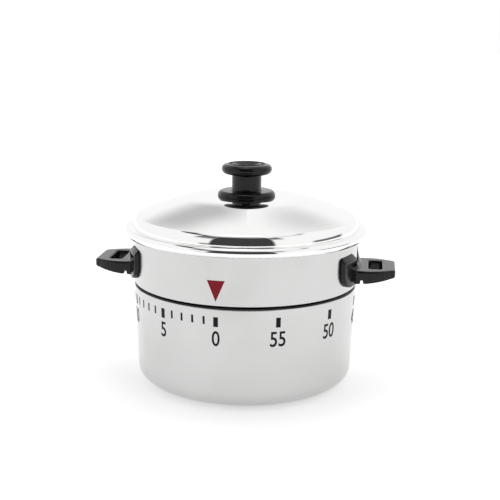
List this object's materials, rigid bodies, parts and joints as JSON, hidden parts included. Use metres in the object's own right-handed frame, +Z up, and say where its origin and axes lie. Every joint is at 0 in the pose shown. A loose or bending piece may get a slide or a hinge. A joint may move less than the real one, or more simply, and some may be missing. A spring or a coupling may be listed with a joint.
{
  "type": "kitchen timer",
  "caption": "Wind-up kitchen timer shaped like a small lidded pot: the upper half, with lid, knob and loop handles, turns over a fixed base with a minute scale.",
  "frame": {"origin": "middle of the base, on the surface that the timer stands on", "axes": "+Z up along the dial's axis, -Y towards the front, where the pointer and the zero mark are; +X to the right"},
  "size_m": [0.0948, 0.0758, 0.0686],
  "materials": {
    "satin_shell": "satin drawn stainless steel",
    "mirror_lid": "mirror polished",
    "gloss_black": "gloss moulded",
    "black_plastic": "moulded",
    "rubber": "matt",
    "red_print": "printed ink",
    "brass_parts": "stamped",
    "bell_metal": "pressed",
    "zinc_steel": "zinc plated",
    "spring_steel": "blued"
  },
  "bodies": {
    "base": {"lower_shell": "satin_shell", "base_pad": "rubber", "base_screws": "zinc_steel", "liner_ring": "black_plastic", "feet": "zinc_steel", "bottom_plate": "brass_parts", "top_plate": "brass_parts", "plate_pillars": "zinc_steel", "plate_screws": "zinc_steel", "top_bush": "brass_parts", "stop_pin": "zinc_steel", "spring_post": "zinc_steel", "mainspring": "spring_steel", "bell": "bell_metal", "bell_post": "zinc_steel", "bell_nut": "zinc_steel"},
    "dial": {"upper_shell": "satin_shell", "lid": "mirror_lid", "knob": "gloss_black", "knob_screw": "zinc_steel", "left_handle": "gloss_black", "right_handle": "gloss_black", "handle_screws": "zinc_steel", "pointer": "red_print", "carrier": "black_plastic", "main_arbor": "zinc_steel", "main_wheel": "brass_parts", "ratchet_wheel": "zinc_steel", "click_pin": "zinc_steel", "click_spring": "spring_steel", "release_cam": "brass_parts", "stop_finger": "zinc_steel"},
    "second": {"second_arbor": "zinc_steel", "second_pinion": "zinc_steel", "second_wheel": "brass_parts"},
    "third": {"third_arbor": "zinc_steel", "third_pinion": "zinc_steel", "third_wheel": "brass_parts"},
    "escape": {"escape_arbor": "zinc_steel", "escape_pinion": "zinc_steel", "escape_wheel": "brass_parts"},
    "verge_body": {"verge_arbor": "zinc_steel", "verge": "zinc_steel", "balance": "brass_parts"},
    "hammer_body": {"hammer_arbor": "zinc_steel", "hammer": "zinc_steel"},
    "lever_body": {"lever_arbor": "zinc_steel", "release_lever": "brass_parts"},
    "click_body": {"click": "brass_parts"}
  },
  "joints": [
    {"name": "dial_turn", "type": "hinge", "parent": "base", "child": "dial", "pos_m": [0, 0, 0.018], "axis": [0, 0, -1], "range_deg": [0, 348]},
    {"name": "second_turn", "type": "hinge", "parent": "base", "child": "second", "pos_m": [-0.0155, -0.00564, 0.018], "axis": [0, 0, -1], "continuous": true},
    {"name": "third_turn", "type": "hinge", "parent": "base", "child": "third", "pos_m": [-0.00896, -0.01385, 0.018], "axis": [0, 0, -1], "continuous": true},
    {"name": "escape_turn", "type": "hinge", "parent": "base", "child": "escape", "pos_m": [0.00121, -0.01646, 0.018], "axis": [0, 0, -1], "continuous": true},
    {"name": "verge_swing", "type": "hinge", "parent": "base", "child": "verge_body", "pos_m": [0.01017, -0.013, 0.018], "axis": [0, 0, 1], "range_deg": [-6, 6]},
    {"name": "hammer_swing", "type": "hinge", "parent": "base", "child": "hammer_body", "pos_m": [0, 0.016, 0.018], "axis": [0, 0, 1], "range_deg": [0, 12], "stiffness_Nm_per_rad": 0.0002},
    {"name": "lever_swing", "type": "hinge", "parent": "base", "child": "lever_body", "pos_m": [0.0125, 0.0105, 0.018], "axis": [0, 0, 1], "range_deg": [-9, 0]},
    {"name": "click_swing", "type": "hinge", "parent": "dial", "child": "click_body", "pos_m": [0.00672, 0.00672, 0.018], "axis": [0, 0, 1], "range_deg": [0, 12], "stiffness_Nm_per_rad": 0.00005}
  ],
  "couplings": [
    {"joint": "second_turn", "follows": "dial_turn", "ratio": -4.5},
    {"joint": "third_turn", "follows": "dial_turn", "ratio": 18},
    {"joint": "escape_turn", "follows": "dial_turn", "ratio": -72}
  ]
}
